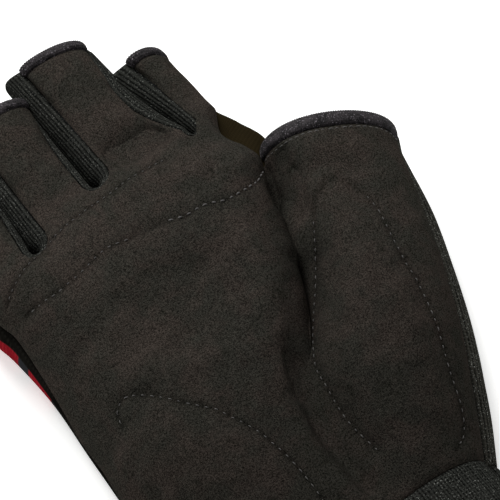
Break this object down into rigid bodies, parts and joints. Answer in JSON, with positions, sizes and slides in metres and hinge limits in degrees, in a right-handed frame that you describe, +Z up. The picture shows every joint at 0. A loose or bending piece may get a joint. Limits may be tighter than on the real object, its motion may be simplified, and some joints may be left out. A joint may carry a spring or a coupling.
{
  "type": "weightlifting glove",
  "caption": "Right-hand half-finger training glove with a suede palm and thumb, knit back and gussets, bound finger rims, open wrist cuff and plain closing strap, lying palm up.",
  "frame": {"origin": "on the flat outside of the back panel that the glove rests on, under the middle of the palm", "axes": "+X to the thumb side, +Y along the fingers, +Z up out of the palm"},
  "size_m": [0.1227, 0.1838, 0.0335],
  "materials": {
    "suede": "short dull nap",
    "knit": "fine smooth knit",
    "rib_knit": "fine ribs",
    "tape": "woven binding tape",
    "elastic": "ribbed elastic",
    "strap": "plain webbing"
  },
  "bodies": {
    "root": {"palm_panel": "suede", "back_panel": "knit", "gusset_little_ring": "rib_knit", "gusset_ring_middle": "rib_knit", "gusset_middle_index": "rib_knit", "web_gusset": "knit", "ulnar_side": "knit", "thumb_side": "knit", "little_binding": "tape", "ring_binding": "tape", "middle_binding": "tape", "index_binding": "tape", "thumb_binding": "tape", "cuff": "elastic", "cuff_hem": "tape", "wrist_strap": "strap"}
  },
  "joints": []
}
